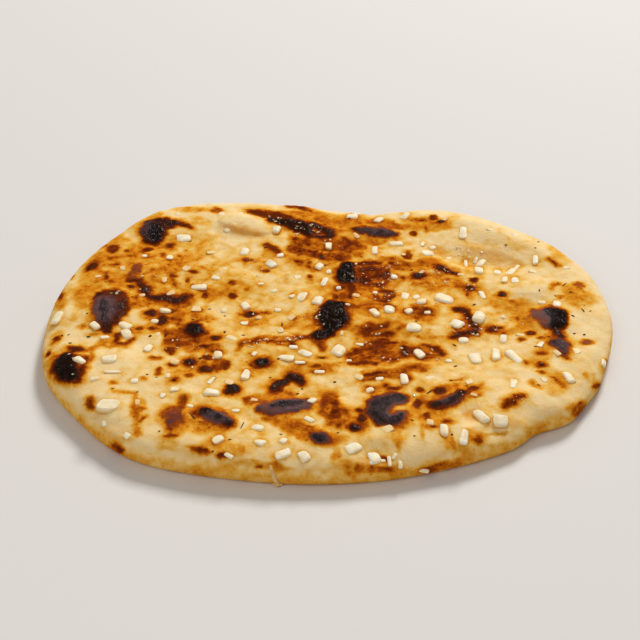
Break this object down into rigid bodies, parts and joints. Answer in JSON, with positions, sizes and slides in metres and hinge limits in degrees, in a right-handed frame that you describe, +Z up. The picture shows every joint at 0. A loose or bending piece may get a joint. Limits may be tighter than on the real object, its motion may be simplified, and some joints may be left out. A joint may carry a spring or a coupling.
{
  "type": "garlic naan",
  "caption": "Uneven oval of leavened flatbread with a rounded edge, blistered and charred top, and chopped garlic baked into it.",
  "frame": {"origin": "middle of the bread's box, on its flat underside", "axes": "+X along the bread's longest way, +Y across it, +Z up out of its blistered top"},
  "size_m": [0.2439, 0.1921, 0.0177],
  "materials": {
    "bread": "baked wheat dough, pale cream to golden brown with dark charred blisters and a thin sheen of butter"
  },
  "bodies": {
    "root": {"naan": "bread"}
  },
  "joints": []
}
